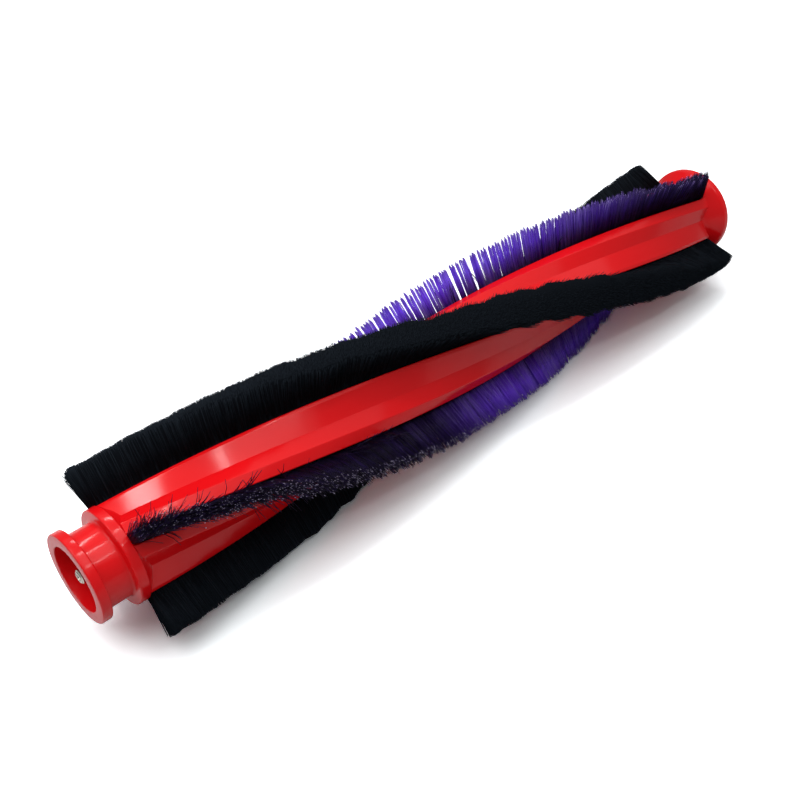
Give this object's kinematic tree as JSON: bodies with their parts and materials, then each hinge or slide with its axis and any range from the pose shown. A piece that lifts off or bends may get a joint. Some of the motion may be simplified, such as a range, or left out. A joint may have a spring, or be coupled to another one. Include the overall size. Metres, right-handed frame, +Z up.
{
  "type": "vacuum roller brush",
  "caption": "Spiral roller brush of a cordless vacuum head: a twisted moulded core with soft pile strips and bristle strips in slots, a stub axle pin at one end and a drive socket at the other.",
  "frame": {"origin": "on the floor, under the middle of the bounding box", "axes": "+X along the spin axis from the pin end to the drive end, +Z up"},
  "size_m": [0.225, 0.0432, 0.0421],
  "materials": {
    "red_plastic": "glossy moulded plastic",
    "steel": "turned, bright",
    "backing": "moulded",
    "black_pile": "dense soft pile",
    "purple_bristle": "stiff bristles"
  },
  "bodies": {
    "root": {"roller_core": "red_plastic", "end_cap": "red_plastic", "drive_cap": "red_plastic", "axle_pin": "steel", "backing_black_1": "backing", "backing_black_2": "backing", "backing_purple_1": "backing", "backing_purple_2": "backing", "pile_black_1": "black_pile", "pile_black_2": "black_pile", "pile_purple_1": "purple_bristle", "pile_purple_2": "purple_bristle"}
  },
  "joints": []
}
